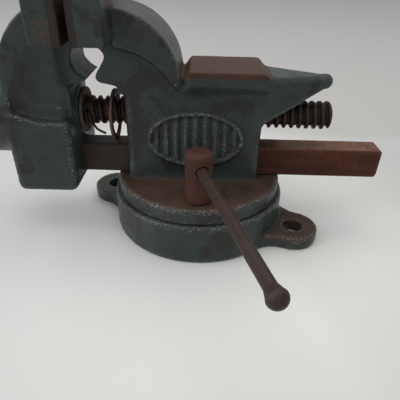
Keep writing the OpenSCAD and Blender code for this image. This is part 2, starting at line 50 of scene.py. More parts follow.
# ---- Camera, table top and light ----
# Low over the bench, close in front of the swivel lock, looking down at the vise.
# The stage is a white laminate bench top that turns a shade greyer far behind the vise.

camera_height = 176.1 * mm
camera_distance = 261.6 * mm
camera_side = 1.2 * mm
look_down = math.radians(32.2)
lean = math.radians(1.5)

camera_data = bpy.data.cameras.new("camera")
camera_data.sensor_width = 36
camera_data.lens = 36
camera_data.clip_start = 0.01
camera = bpy.data.objects.new("camera", camera_data)
camera.matrix_world = (Matrix.Translation((camera_side, -camera_distance, camera_height))
                       @ Matrix.Rotation(math.pi / 2 - look_down, 4, "X")
                       @ Matrix.Rotation(lean, 4, "Z"))
scene.collection.objects.link(camera)
scene.camera = camera
scene.view_settings.view_transform = "Standard"


def colour(code):
    """Linear colour of an sRGB hex code."""
    parts = [int(code[i:i + 2], 16) / 255 for i in (1, 3, 5)]
    return [p / 12.92 if p <= 0.04045 else ((p + 0.055) / 1.055) ** 2.4 for p in parts] + [1]


def per(size):
    """Texture scale that makes a pattern of about this size, in metres."""
    return 1 / size


def add(tree, kind, inputs=None, **settings):
    """A node with its settings, whose inputs are set to values or linked to sockets."""
    made = tree.nodes.new(kind)
    for key, value in settings.items():
        setattr(made, key, value)
    for key, value in (inputs or {}).items():
        if isinstance(value, bpy.types.NodeSocket):
            tree.links.new(value, made.inputs[key])
        else:
            made.inputs[key].default_value = value
    return made


def new_material(name):
    """A material with an empty node tree, and that tree."""
    made = bpy.data.materials.new(name)
    made.use_nodes = True
    made.node_tree.nodes.clear()
    return made, made.node_tree


def finish_material(tree, inputs):
    """Ends the tree with a principled shader that has these inputs."""
    shader = add(tree, "ShaderNodeBsdfPrincipled", inputs)
    add(tree, "ShaderNodeOutputMaterial", {"Surface": shader.outputs[0]})


def object_place(tree):
    return add(tree, "ShaderNodeTexCoord").outputs["Object"]


def read_mark(tree, name):
    """One of the numbers that the mesh holds for each vertex."""
    return add(tree, "ShaderNodeAttribute", attribute_name=name).outputs["Fac"]


def lumps(tree, place, size, detail, roughness, distortion=0.0):
    """Noise from 0 to 1 with lumps of about this size, in metres."""
    return add(tree, "ShaderNodeTexNoise", {
        "Vector": place, "Scale": per(size), "Detail": detail, "Roughness": roughness,
        "Distortion": distortion}).outputs["Fac"]


def combine(tree, operation, first, second):
    return add(tree, "ShaderNodeMath", {0: first, 1: second}, operation=operation).outputs[0]


def remap(tree, value, low, high, to_low=0.0, to_high=1.0, **settings):
    """Takes low to to_low and high to to_high, and holds there beyond them."""
    return add(tree, "ShaderNodeMapRange", {
        "Value": value, "From Min": low, "From Max": high, "To Min": to_low,
        "To Max": to_high}, **settings).outputs[0]


def mix(tree, share, first, second):
    """The first where share is 0 and the second where it is 1: hex codes, values or sockets."""
    ends = [colour(end) if isinstance(end, str) else end for end in (first, second)]
    return add(tree, "ShaderNodeMixRGB", {"Fac": share, "Color1": ends[0],
                                          "Color2": ends[1]}).outputs[0]


def bumps(tree, height, strength, depth):
    return add(tree, "ShaderNodeBump", {"Height": height, "Strength": strength,
                                        "Distance": depth}).outputs["Normal"]


# White laminate, greyer far behind the vise, with a painted pool of light close round the vise that
# brightens away the shade the vise casts on the bench.
laminate, tree = new_material("white laminate")
place = object_place(tree)
depth = add(tree, "ShaderNodeSeparateXYZ", {"Vector": place}).outputs["Y"]
far_tone = remap(tree, depth, 150 * mm, 172 * mm, interpolation_type="SMOOTHSTEP")
tone = mix(tree, far_tone, "#cdccca", "#c6c3c0")
from_vise = add(tree, "ShaderNodeVectorMath", {0: place}, operation="LENGTH").outputs["Value"]
# Painted light: the laminate is painted brighter within about 100 to 240 mm of the vise, lifting
# the vise's cast shade.
away = remap(tree, from_vise, 100 * mm, 240 * mm, interpolation_type="SMOOTHSTEP")
tone = mix(tree, away, "#e9e8e5", tone)
finish_material(tree, {"Base Color": tone, "Roughness": 0.38})

bpy.ops.mesh.primitive_plane_add(size=6, location=(0, 0, 0))
bench = bpy.context.object
bench.name = "bench_top"
bench.data.materials.append(laminate)

world = bpy.data.worlds.new("room")
world.use_nodes = True
world.node_tree.nodes["Background"].inputs["Color"].default_value = colour("#dfe3e6")
world.node_tree.nodes["Background"].inputs["Strength"].default_value = 0.62
scene.world = world


def soft_light(name, place, aim, size, power, tint):
    """Square lamp of the given size, turned towards a point."""
    data = bpy.data.lights.new(name, "AREA")
    data.size = size
    data.energy = power
    data.color = colour(tint)[:3]
    lamp = bpy.data.objects.new(name, data)
    lamp.location = place
    lamp.rotation_euler = (Vector(aim) - Vector(place)).to_track_quat("-Z", "Y").to_euler()
    scene.collection.objects.link(lamp)


soft_light("ceiling", (0.0, 0.15, 1.2), (0, 0.05, 0), 1.4, 7.5, "#fffbf4")
soft_light("window", (-1.0, -0.35, 0.65), (-0.05, 0, 0.05), 0.8, 6.5, "#f4f6fb")


# ---- Shapes of worn metal ----
# Every casting and forging starts as its own solid and gets the softened edges, the filled
# corners and the uneven skin that casting, forging and years of use give it.

def shape_of(mesh):
    """Vertex places and edge ends of a mesh, as arrays."""
    points = np.empty(len(mesh.vertices) * 3)
    mesh.vertices.foreach_get("co", points)
    ends = np.empty(len(mesh.edges) * 2, dtype=np.int64)
    mesh.edges.foreach_get("vertices", ends)
    return points.reshape(-1, 3), ends.reshape(-1, 2)


def pull(points, ends):
    """For each vertex, the step that takes it to the middle of its neighbours."""
    count = np.bincount(ends.ravel(), minlength=len(points))
    total = np.empty_like(points)
    for axis in range(3):
        total[:, axis] = (np.bincount(ends[:, 0], points[ends[:, 1], axis], len(points))
                          + np.bincount(ends[:, 1], points[ends[:, 0], axis], len(points)))
    return total / np.maximum(count, 1)[:, None] - points


def normals_of(mesh):
    out = np.empty(len(mesh.vertices) * 3)
    mesh.vertices.foreach_get("normal", out)
    return out.reshape(-1, 3)


def apply_modifiers(piece):
    """Replaces the piece's mesh by what its modifiers make of it."""
    bpy.context.view_layer.update()
    seen = bpy.context.evaluated_depsgraph_get()
    piece.data = bpy.data.meshes.new_from_object(piece.evaluated_get(seen))
    piece.modifiers.clear()


def store(mesh, points):
    mesh.vertices.foreach_set("co", points.ravel())
    mesh.update()


def grain(points, size, seed=0.0):
    """Smooth random values from -1 to 1, in lumps of about this size."""
    shift = Vector((seed, seed * 1.7, -seed))
    return np.array([noise.noise(Vector(p) + shift) for p in points / size])


def ramp(values, low, high):
    """0 below low, 1 above high and a smooth step between them."""
    t = np.clip((values - low) / (high - low), 0, 1)
    return t * t * (3 - 2 * t)


def between(values, low, high, soft):
    """1 from low to high, fading to 0 within the soft distance outside them."""
    return ramp(values, low - soft, low) * (1 - ramp(values, high, high + soft))


def mark(piece, name, values):
    """Stores one number per vertex for the piece's material to read."""
    if name not in piece.data.attributes:
        piece.data.attributes.new(name, "FLOAT", "POINT")
    piece.data.attributes[name].data.foreach_set("value", np.ascontiguousarray(values, np.float32))


def dim(piece, name, share):
    """Multiplies a stored mark by a share per vertex."""
    values = np.empty(len(piece.data.vertices), np.float32)
    stored = piece.data.attributes[name].data
    stored.foreach_get("value", values)
    stored.foreach_set("value", np.ascontiguousarray(values * share, np.float32))


full_mark = 0.5 * mm  # height over the smoothed shape at which an edge or hollow counts fully
smoothing_passes = 14
fine_lump = 2.6 * mm
broad_lump = 17 * mm


def worn_copy(node, name, cell, rounding, fillets=0, keep=None, pits=0.0, swell=0.0,
              faces=1.0, prepare=None):
    """Copy of a CAD node as one even closed mesh, with worn edges and filled corners.

    keep(points) says how sharp each vertex stays, from 0 to 1. pits and swell are the depths
    of the fine and the broad unevenness of the surface. faces is the share of faces kept, and
    prepare(mesh) changes the copy before it is made even.
    """
    piece = bpy.data.objects.new(name, nodes[node].data.copy())
    scene.collection.objects.link(piece)
    if prepare:
        prepare(piece.data)
    even = piece.modifiers.new("even", "REMESH")
    even.mode = "VOXEL"
    even.voxel_size = cell
    apply_modifiers(piece)
    mesh = piece.data
    points, ends = shape_of(mesh)
    free = 1 - keep(points) if keep else np.ones(len(points))
    for _ in range(rounding):
        points += pull(points, ends) * (0.25 + 0.45 * free)[:, None]
    for _ in range(fillets):
        store(mesh, points)
        normal = normals_of(mesh)
        rise = np.einsum("ij,ij->i", pull(points, ends), normal)
        points += normal * (np.maximum(rise, 0) * 0.9 * free)[:, None]
        points += pull(points, ends) * 0.12 * free[:, None]
    store(mesh, points)
    if pits or swell:
        normal = normals_of(mesh)
        rough = pits * (grain(points, fine_lump) + 0.6 * grain(points, fine_lump / 2, 5.0))
        rough += swell * grain(points, broad_lump, 11.0)
        points += normal * (np.minimum(rough - pits, 0) * (0.15 + 0.85 * free))[:, None]
        store(mesh, points)
    smooth = points.copy()
    for _ in range(smoothing_passes):
        smooth += pull(smooth, ends) * 0.6
    proud = np.einsum("ij,ij->i", points - smooth, normals_of(mesh))
    mark(piece, "edge", np.clip(proud / full_mark, 0, 1))
    mark(piece, "hollow", np.clip(-proud / full_mark, 0, 1))
    if faces < 1:
        fewer = piece.modifiers.new("fewer", "DECIMATE")
        fewer.ratio = faces
        apply_modifiers(piece)
    piece.data.materials.clear()
    piece.data.polygons.foreach_set("use_smooth", [True] * len(piece.data.polygons))
    return piece


def points_of(piece):
    return shape_of(piece.data)[0]


# ---- Swivel base ----
# Grey iron sand casting: a round drum with two bench lugs, dipped in dark grey-green enamel.
# Use has dulled the enamel, taken it off the edges and let rust through on top of the lugs; the
# lighter edges are partly painted highlight.

# Enamel over cast iron: a thin glossy coat that follows the sand-cast skin, rubbed matt, with
# grime in the corners and brown rust or bare grey iron wherever the coat is gone. The lighter
# edges are partly wear and partly painted highlight, and their bright flecks are painted glints.
enamel, tree = new_material("enamel over cast iron")
place = object_place(tree)
edge, hollow, stain, bare, rubbed = [read_mark(tree, name) for name in (
    "edge", "hollow", "stain", "bare", "rubbed")]
broad = lumps(tree, place, 38 * mm, 4, 0.55)
patchy = lumps(tree, place, 11 * mm, 7, 0.62)
speck = lumps(tree, place, 2.2 * mm, 5, 0.6)
sand = lumps(tree, place, 0.9 * mm, 3, 0.65)
flaked = lumps(tree, place, 27 * mm, 9, 0.58, 0.5)

# the coat: grey-green, with darker clouds, paler flecks and thin spots with hard outlines
coat = mix(tree, broad, "#262c2c", "#3e4947")
coat = mix(tree, remap(tree, patchy, 0.50, 0.68, 0, 0.7), coat, "#302f29")
coat = mix(tree, remap(tree, speck, 0.62, 0.74, 0, 0.35), coat, "#4b5858")
coat = mix(tree, remap(tree, flaked, 0.535, 0.56, 0, 0.8), coat, "#2c2a27")

# rust shows where the stain value, the patches and the specks together pass a threshold
rust = mix(tree, patchy, "#3a2a22", "#604738")
stained = combine(tree, "ADD", combine(tree, "ADD", stain, patchy), speck)
rusty = remap(tree, stained, 1.28, 1.62, 0, 0.85)
skin = mix(tree, rusty, coat, rust)

# edges and rubbed places go to lighter iron, partly wear and partly painted highlight on the edges,
# with bright flecks along the edges: painted glints, partly chips of bare iron
iron = mix(tree, speck, "#443e38", "#645d57")
# Wear and painted highlight: the lighter iron along the edges partly stands for light caught on
# rounded edges.
scuff_and_painted_highlight = combine(tree, "MULTIPLY", combine(tree, "MAXIMUM", edge, rubbed), patchy)
skin = mix(tree, remap(tree, scuff_and_painted_highlight, 0.2, 0.5, 0, 0.6), skin, iron)
# Painted glints: bright flecks along the edges, partly chips of bare iron.
chip_and_painted_glint = combine(tree, "MULTIPLY", remap(tree, edge, 0.15, 0.4),
               remap(tree, sand, 0.56, 0.64, 0, 0.9))
skin = mix(tree, chip_and_painted_glint, skin, "#8d9392")

# grime in the hollows, and the faces that were never painted
skin = mix(tree, combine(tree, "MULTIPLY", hollow, 0.75), skin, "#1b1a18")
bare_iron = mix(tree, patchy, "#3f2c25", "#5b4138")
skin = mix(tree, combine(tree, "MULTIPLY", bare, 0.96), skin, bare_iron)

dull = combine(tree, "MAXIMUM", remap(tree, patchy, 0.3, 0.7, 0.34, 0.52), rusty)
finish_material(tree, {
    "Base Color": skin, "Roughness": remap(tree, dull, 0, 1, 0, 0.86),
    "Specular IOR Level": remap(tree, bare, 0, 1, 0.26, 0.04), "IOR": 1.5,
    "Normal": bumps(tree, combine(tree, "ADD", sand, speck), 0.55, 0.25 * mm)})

drum_radius = 61 * mm
lug_top = 10 * mm


def base_keep(points):
    """The face that stands on the bench stays fairly sharp."""
    return 0.6 * (points[:, 2] < 0.4 * mm)


base = worn_copy("swivel_base", "base_casting", 1.0 * mm, 4, 5, base_keep, 0.10 * mm,
                 0.12 * mm, 0.6)
points = points_of(base)
outward = np.hypot(points[:, 0], points[:, 1])
on_lug = (ramp(outward, drum_radius - 1 * mm, drum_radius + 3 * mm)
          * between(points[:, 2], lug_top - 2 * mm, lug_top + 1 * mm, 1.5 * mm))
mark(base, "stain", 0.38 * on_lug + 0.22 * ramp(points[:, 0], 35 * mm, 60 * mm)
     + 0.12 * ramp(points[:, 2], 24 * mm, 27 * mm))
mark(base, "bare", np.zeros(len(points)))
# Less edge wear and painted edge highlight on the base.
dim(base, "edge", np.full(len(points), 0.7))
base.data.materials.append(enamel)
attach(base, "base")
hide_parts("swivel_base")


# ---- Hidden fasteners: pivot bolt and washer, lock stud, screw nut and key, bar pin ----
# Black mild steel straight from the lathe and the forge, with a film of old oil. They sit
# inside the castings, so the CAD solids stay as they are and only take their finish.

# Oiled black steel: heat scale under oil, nearly black, with a soft gloss and brown specks.
black_steel, tree = new_material("oiled black steel")
scale_marks = lumps(tree, object_place(tree), 3 * mm, 5, 0.6)
finish_material(tree, {
    "Base Color": mix(tree, remap(tree, scale_marks, 0.48, 0.70), "#262322", "#43322a"),
    "Roughness": remap(tree, scale_marks, 0, 1, 0.35, 0.65), "Metallic": 0.6,
    "Normal": bumps(tree, scale_marks, 0.3, 0.1 * mm)})

for node in ("pivot_bolt", "pivot_washer", "lock_stud", "spindle_nut", "nut_key",
             "slide_bar_pin"):
    nodes[node].data.materials.clear()
    nodes[node].data.materials.append(black_steel)
    nodes[node].data.polygons.foreach_set("use_smooth", [False] * len(nodes[node].data.polygons))


# ---- Body with the fixed jaw, arch, anvil and horn ----
# One grey iron casting in the same enamel. Only the jaw's seat, the bores and the anvil face
# are machined; the flat anvil pad was never painted and has gone brown from handling.

plate_low, plate_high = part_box("fixed_jaw_plate")
body_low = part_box("fixed_jaw_body")[0]
nut_low, nut_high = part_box("spindle_nut")
bar_low, bar_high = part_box("slide_bar")
lock_low, lock_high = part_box("lock_nut")
screw_axis = (nut_low.z + nut_high.z) / 2
swivel_plate_top = lock_low.z
machined = 1.5 * mm  # width kept sharp round a machined face
way_edge = 1.6 * mm
pad_foot = 109.7 * mm  # where the anvil pad rises out of the casting
pad_back = -10 * mm
pad_front = 43.5 * mm
throat_top = 108 * mm
pipe_jaw_depth = 26 * mm
pipe_jaw_half_width = 20 * mm

# the arch's curve, the inner corner where it meets the pad, and the oval on the side
arch_middle = Vector((-55 * mm, 0, 106 * mm))
arch_radius = 42.5 * mm
arch_foot_middle = Vector((-10 * mm, 0, 112 * mm))
arch_foot_size = 4.5 * mm
badge_middle = Vector((-2.8 * mm, -17 * mm, 69.8 * mm))
badge_half_length = 31.5 * mm
badge_half_height = 19 * mm


def bar_way(points):
    """The hole for the bar, with a margin round it."""
    x, y, z = points.T
    return (np.abs(y) < bar_high.y + way_edge) * (z < bar_high.z + way_edge)


def body_keep(points):
    """The machined faces stay sharp, the jaw, pad, pipe jaw and badge partly so."""
    x, y, z = points.T
    over_seat = ramp(z, plate_low.z - machined, plate_low.z)
    seat = over_seat * (x < plate_high.x + 1.2 * mm)
    jaw = 0.75 * over_seat * (x < plate_high.x + 14 * mm)
    underside = z < body_low.z + 0.5 * mm
    bore = np.hypot(y, z - screw_axis) < nut_high.y + machined
    pad = 0.6 * (z > pad_foot + 1.5 * mm) * (x > pad_back) * (x < pad_front + 2.5 * mm)
    pipe_jaw = (0.7 * (x < body_low.x + pipe_jaw_depth) * (z < throat_top)
                * (np.abs(y) < pipe_jaw_half_width))
    from_badge = np.hypot((x - badge_middle.x) / badge_half_length,
                          (z - badge_middle.z) / badge_half_height)
    badge = 0.88 * (1 - ramp(from_badge, 1.02, 1.12)) * (y < badge_middle.y)
    kept = [seat, jaw, underside, bar_way(points), bore, pad, pipe_jaw, badge]
    return np.clip(np.max(kept, axis=0), 0, 1)


body = worn_copy("fixed_jaw_body", "body_casting", 0.78 * mm, 2, 36, body_keep, 0.09 * mm,
                 0.16 * mm)
points = points_of(body)
x, y, z = points.T
facing = normals_of(body.data)
from_arch = np.hypot(x - arch_middle.x, z - arch_middle.z)
arch_top = (ramp(from_arch, arch_radius - 3.0 * mm, arch_radius - 0.8 * mm)
            * ramp(z, 107 * mm, 112 * mm) * ramp(x, -52 * mm, -46 * mm))
upright = ramp(facing[:, 2], 0.4, 0.9)
plate_face = upright * (z < swivel_plate_top + 2 * mm)
foot = 1 - ramp(z, swivel_plate_top + 1 * mm, swivel_plate_top + 7 * mm)
jaw_side = ramp(z, plate_low.z - 4 * mm, plate_low.z + 2 * mm)
horn_tip = ramp(x, 58 * mm, 80 * mm)
from_foot = np.hypot(x - arch_foot_middle.x, z - arch_foot_middle.z)
arch_foot = np.exp(-(from_foot / arch_foot_size) ** 2)
mark(body, "stain", 0.62 * plate_face + 0.22 * foot * (1 - plate_face) + 0.10 * arch_top
     + 0.24 * jaw_side + 0.16 * horn_tip + 0.75 * arch_foot)
mark(body, "rubbed", 0.6 * arch_top)
mark(body, "bare", ramp(z, pad_foot + 0.3 * mm, pad_foot + 1.2 * mm)
     * between(x, pad_back - 1 * mm, pad_front, 1 * mm))
# Less edge wear and painted edge highlight on the jaw and along the top.
at_jaw = ramp(z, plate_low.z - 2 * mm, plate_low.z) * (1 - ramp(x, -51 * mm, -49 * mm))
dim(body, "edge", (1 - 0.85 * at_jaw) * (1 - 0.6 * ramp(z, 96 * mm, 100 * mm)))
body.data.materials.append(enamel)
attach(body, "vise_body")
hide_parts("fixed_jaw_body")


# ---- Sliding jaw ----
# The second iron casting: a hollow-backed hook over a box that holds the bar, with a round
# boss for the screw in front. Same enamel, browned on the sides of the jaw and on the boss.

loose_plate_low, loose_plate_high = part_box("sliding_jaw_plate")
ledge = 91 * mm
boss_bore = 11 * mm
nose_bottom = 96 * mm
nose_depth = 9 * mm
nose_half_width = 17.5 * mm


def jaw_keep(points):
    """The machined faces stay sharp, the jaw and its pipe jaw partly so."""
    x, y, z = points.T
    over_seat = ramp(z, plate_low.z - machined, plate_low.z)
    seat = over_seat * (x > loose_plate_low.x - 1.2 * mm)
    jaw = 0.75 * over_seat * (x > loose_plate_low.x - 13.5 * mm)
    socket = bar_way(points) * (x > bar_low.x - machined)
    bore = np.hypot(y, z - screw_axis) < boss_bore
    nose = (0.7 * (x > loose_plate_high.x - nose_depth) * (z > nose_bottom)
            * (np.abs(y) < nose_half_width))
    return np.clip(np.max([seat, jaw, socket, bore, nose], axis=0), 0, 1)


slider = worn_copy("sliding_jaw", "sliding_jaw_casting", 0.85 * mm, 2, 40, jaw_keep, 0.09 * mm,
                   0.16 * mm)
points = points_of(slider)
x, y, z = points.T
streaks = grain(points * (1, 1, 0.35), 7 * mm, 3.0)
jaw_side = ramp(z, plate_low.z - 6 * mm, plate_low.z + 4 * mm)
boss = 1 - ramp(x, -124 * mm, -112 * mm)
mark(slider, "stain", 0.26 * jaw_side + 0.16 * streaks * jaw_side
     + 0.14 * boss * between(z, 60 * mm, ledge, 4 * mm) + 0.1 * (1 - ramp(z, 36 * mm, 44 * mm)))
mark(slider, "bare", np.zeros(len(points)))
# Less edge wear and painted edge highlight along the top of the jaw.
dim(slider, "edge", 1 - 0.8 * ramp(z, 96 * mm, 104 * mm))
slider.data.materials.append(enamel)
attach(slider, "sliding_jaw")
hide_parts("sliding_jaw")


# ---- Jaw plates ----
# Two hardened tool-steel bars, 4 mm thick, ground square, with crossed teeth milled into the
# gripping face and two countersunk holes each. Brown oil stain fills the teeth.

tooth_pitch = 2.0 * mm
tooth_depth = 0.35 * mm
tooth_step = 0.4 * mm
tooth_rows = 56
tooth_border = 1.2 * mm
plate_chamfer = 0.25 * mm
chamfer_width = 0.5 * mm
screw_offset = 28 * mm
pit_rim = 5.75 * mm
pit_floor = 3.05 * mm
pit_depth = 3.0 * mm


def jaw_plate(name, low, high, inward):
    """Plate with its toothed face on the side away from inward (1 for +X, -1 for -X)."""
    across = np.arange(low.y, high.y + 0.01 * mm, tooth_step)
    across[-1] = high.y
    upward = np.linspace(low.z, high.z, tooth_rows)
    yy, zz = np.meshgrid(across, upward, indexing="ij")
    middle = (low.z + high.z) / 2
    from_screw = np.hypot(np.abs(yy) - screw_offset, zz - middle)
    teeth = [np.abs(((yy + s * (zz - middle)) / tooth_pitch) % 1 - 0.5) * 2 for s in (1, -1)]
    border = np.minimum.reduce([yy - low.y, high.y - yy, zz - low.z, high.z - zz])
    cut = tooth_depth * np.maximum(*teeth) ** 1.5 * ramp(border, 0.1 * mm, tooth_border)
    cut = np.maximum(cut, plate_chamfer * (1 - ramp(border, 0, chamfer_width)))
    pit = pit_depth * np.clip((pit_rim - from_screw) / (pit_rim - pit_floor), 0, 1)
    cut = np.maximum(cut, pit)
    face, back = (low.x, high.x) if inward > 0 else (high.x, low.x)
    rows, columns = yy.shape
    front = np.stack([face + inward * cut, yy, zz], axis=-1).reshape(-1, 3)
    rear = np.stack([np.full_like(yy, back), yy, zz], axis=-1).reshape(-1, 3)
    corner = np.arange(rows * columns).reshape(rows, columns)
    quads = np.stack([corner[:-1, :-1], corner[1:, :-1], corner[1:, 1:], corner[:-1, 1:]],
                     axis=-1).reshape(-1, 4)
    rim = np.concatenate([corner[:, 0], corner[-1, 1:], corner[-2::-1, -1], corner[0, -2:0:-1]])
    after = np.roll(rim, -1)
    count = rows * columns
    walls = np.stack([rim, rim + count, after + count, after], axis=-1)
    faces = np.concatenate([quads, quads[:, ::-1] + count, walls])
    if inward > 0:
        faces = faces[:, ::-1]
    mesh = bpy.data.meshes.new(name)
    mesh.from_pydata(np.concatenate([front, rear]).tolist(), [], faces.tolist())
    mesh.update()
    piece = bpy.data.objects.new(name, mesh)
    scene.collection.objects.link(piece)
    marked = np.concatenate([cut.ravel(), np.zeros(count)])
    mark(piece, "hollow", np.clip(marked / tooth_depth, 0, 1))
    return piece


# Hardened tool steel: ground bright, now grey-brown with dark grime down in the teeth.
tool_steel, tree = new_material("hardened tool steel")
place = object_place(tree)
patchy = lumps(tree, place, 8 * mm, 6, 0.6)
speck = lumps(tree, place, 1.5 * mm, 4, 0.6)
grime = combine(tree, "MULTIPLY", read_mark(tree, "hollow"), 0.8)
finish_material(tree, {
    "Base Color": mix(tree, grime, mix(tree, patchy, "#2c2725", "#44382f"), "#1c1917"),
    "Roughness": remap(tree, patchy, 0, 1, 0.38, 0.7), "Metallic": 0.55,
    "Normal": bumps(tree, speck, 0.35, 0.08 * mm)})

for node, name, body_name, side, low, high in (
        ("fixed_jaw_plate", "fixed_plate", "vise_body", 1, plate_low, plate_high),
        ("sliding_jaw_plate", "sliding_plate", "sliding_jaw", -1, loose_plate_low,
         loose_plate_high)):
    plate = jaw_plate(name, low, high, side)
    plate.data.materials.append(tool_steel)
    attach(plate, body_name)
    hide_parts(node)


# ---- Jaw plate screws ----
# Countersunk slotted machine screws of plain steel, two through each plate, with their heads
# flush with the tips of the teeth and a slot across each.

slot_width = 1.4 * mm
slot_depth = 1.6 * mm
slot_length = 16 * mm
slot_leans = ((-screw_offset, 0.5), (screw_offset, -0.9))

for node, name, body_name, face_x in (
        ("fixed_plate_screws", "fixed_plate_screw_pair", "vise_body", plate_low.x),
        ("sliding_plate_screws", "sliding_plate_screw_pair", "sliding_jaw",
         loose_plate_high.x)):
    screws = bpy.data.objects.new(name, nodes[node].data.copy())
    scene.collection.objects.link(screws)
    slots = bmesh.new()
    for offset, lean_over in slot_leans:
        spot = Matrix.Translation((face_x, offset, (plate_low.z + plate_high.z) / 2))
        bmesh.ops.create_cube(slots, size=1, matrix=spot @ Matrix.Rotation(lean_over, 4, "X")
                              @ Matrix.Diagonal((2 * slot_depth, slot_length, slot_width, 1)))
    cutter_mesh = bpy.data.meshes.new("slot_cutter")
    slots.to_mesh(cutter_mesh)
    slots.free()
    cutter = bpy.data.objects.new("slot_cutter", cutter_mesh)
    scene.collection.objects.link(cutter)
    cut = screws.modifiers.new("slots", "BOOLEAN")
    cut.object = cutter
    cut.solver = "EXACT"
    apply_modifiers(screws)
    bpy.data.objects.remove(cutter)
    screws.data.materials.clear()
    screws.data.materials.append(black_steel)
    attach(screws, body_name)
    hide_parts(node)


# ---- Slide bar ----
# Rectangular bar of hot-rolled mild steel, pinned in the sliding jaw. It was never painted:
# the free end is red-brown with fine rust, and the stretch between the jaws is dark with grease.

# Rusted mild steel: an even skin of fine red-brown rust, pitted, matt, with darker blooms and
# thin tan patches: rubbed rims on the washers and painted light on the tops of the bar and nut.
# Grease turns it dark and a little glossy.
rusted, tree = new_material("rusted mild steel")
place = object_place(tree)
edge, hollow, grease, worn = [read_mark(tree, name) for name in (
    "edge", "hollow", "grease", "worn")]
drawn = add(tree, "ShaderNodeMapping", {"Vector": place, "Scale": (0.3, 1, 1)}).outputs[0]
broad = lumps(tree, drawn, 13 * mm, 5, 0.6)
bloom = lumps(tree, place, 3.4 * mm, 6, 0.65)
pit = add(tree, "ShaderNodeTexVoronoi", {"Vector": place, "Scale": per(0.9 * mm)}).outputs[0]
skin = mix(tree, remap(tree, broad, 0.34, 0.66), "#3d2219", "#553022")
skin = mix(tree, remap(tree, bloom, 0.50, 0.74, 0, 0.65), skin, "#33211c")
# Tan patches: rubbed rims on the washers; on the bar's free end and the nut's top they are painted
# light from above.
rub_and_painted_light = combine(tree, "MULTIPLY", worn, bloom)
skin = mix(tree, remap(tree, rub_and_painted_light, 0.2, 0.62, 0, 0.75), skin, "#85695a")
skin = mix(tree, combine(tree, "MULTIPLY", edge, 0.45), skin, "#7a5443")
skin = mix(tree, combine(tree, "MULTIPLY", hollow, 0.6), skin, "#1e1614")
greasy = combine(tree, "MULTIPLY", grease, 0.85)
skin = mix(tree, greasy, skin, "#3a332d")
dull = mix(tree, greasy, remap(tree, bloom, 0.3, 0.7, 0.66, 0.92), (0.5, 0.5, 0.5, 1))
finish_material(tree, {
    "Base Color": skin, "Roughness": dull, "Specular IOR Level": 0.2, "IOR": 1.5,
    "Normal": bumps(tree, combine(tree, "ADD", pit, bloom), 0.5, 0.2 * mm)})

bar = worn_copy("slide_bar", "square_bar", 0.7 * mm, 2, 0, None, 0.06 * mm, 0.05 * mm)
points = points_of(bar)
x, y, z = points.T
facing = normals_of(bar.data)
mark(bar, "grease", 1 - ramp(x, -44 * mm, -34 * mm))
# Painted light: the bar's upward faces at the free end are lighter, as if lit from above.
mark(bar, "worn", ramp(facing[:, 2], 0.5, 0.9) * ramp(x, 44 * mm, 60 * mm))
bar.data.materials.append(rusted)
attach(bar, "sliding_jaw")
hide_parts("slide_bar")


# ---- Screw ----
# Mild steel bar with a right-hand rounded thread of 5.08 mm pitch, and a turned head with the
# cross hole for the handle. Old grease has baked to a brown-black skin in the thread.

pitch = 5.08 * mm
thread_depth = 2.4 * mm
crest = 9.4 * mm
thread_start = -73 * mm
thread_run_in = 3 * mm
thread_run_out = 1.2 * mm
thread_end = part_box("spindle")[1].x
thread_step = 0.4 * mm
thread_sides = 72
rings_start = -71.5 * mm  # beyond this the copied screw has only its plain rings


def sweep(name, stations, radii, sides):
    """Closed solid round the screw's axis: radii(station, angle) gives its radius."""
    turn = np.linspace(0, 2 * math.pi, sides, endpoint=False)
    xx, tt = np.meshgrid(stations, turn, indexing="ij")
    rr = radii(xx, tt)
    rings = np.stack([xx, rr * np.cos(tt), screw_axis + rr * np.sin(tt)], axis=-1)
    rows = len(stations)
    corner = np.arange(rows * sides).reshape(rows, sides)
    beside = np.roll(corner, -1, axis=1)
    quads = np.stack([corner[:-1], beside[:-1], beside[1:], corner[1:]], axis=-1).reshape(-1, 4)
    mesh = bpy.data.meshes.new(name)
    mesh.from_pydata(rings.reshape(-1, 3).tolist(), [],
                     quads.tolist() + [corner[0, ::-1].tolist(), corner[-1].tolist()])
    mesh.update()
    return mesh


def thread_radius(xx, tt):
    """Right-hand helix: the ridge moves one pitch along +X for each full turn about it."""
    phase = (xx / pitch - tt / (2 * math.pi)) % 1
    ridge = ramp(0.5 - 0.5 * np.cos(2 * math.pi * phase), 0.10, 0.80)
    start = ramp(xx, thread_start, thread_start + thread_run_in)
    end = 1 - 0.25 * ramp(xx, thread_end - thread_run_out, thread_end)
    return crest - thread_depth * (1 - ridge * end) * start


def with_thread(mesh):
    """Cuts the plain rings off the copied screw and sets the helix in their place."""
    shape = bmesh.new()
    shape.from_mesh(mesh)
    every = shape.verts[:] + shape.edges[:] + shape.faces[:]
    cut = bmesh.ops.bisect_plane(shape, geom=every, plane_co=(rings_start, 0, 0),
                                 plane_no=(1, 0, 0), clear_outer=True)
    rim = [part for part in cut["geom_cut"] if isinstance(part, bmesh.types.BMEdge)]
    bmesh.ops.contextual_create(shape, geom=rim)
    stations = np.linspace(thread_start, thread_end, int((thread_end - thread_start) / thread_step))
    shape.from_mesh(sweep("helix", stations, thread_radius, thread_sides))
    shape.to_mesh(mesh)
    shape.free()


screw = worn_copy("spindle", "screw", 0.5 * mm, 2, 0, None, 0.05 * mm, 0.03 * mm,
                  prepare=with_thread)

# Greased screw steel: dark brown skin, lighter on the crests as a painted sheen, and darker with
# grease in the roots.
screw_steel, tree = new_material("greased screw steel")
place = object_place(tree)
edge, hollow = [read_mark(tree, name) for name in ("edge", "hollow")]
patchy = lumps(tree, place, 6 * mm, 6, 0.62)
speck = lumps(tree, place, 1.2 * mm, 4, 0.6)
skin = mix(tree, patchy, "#1d1411", "#33241e")
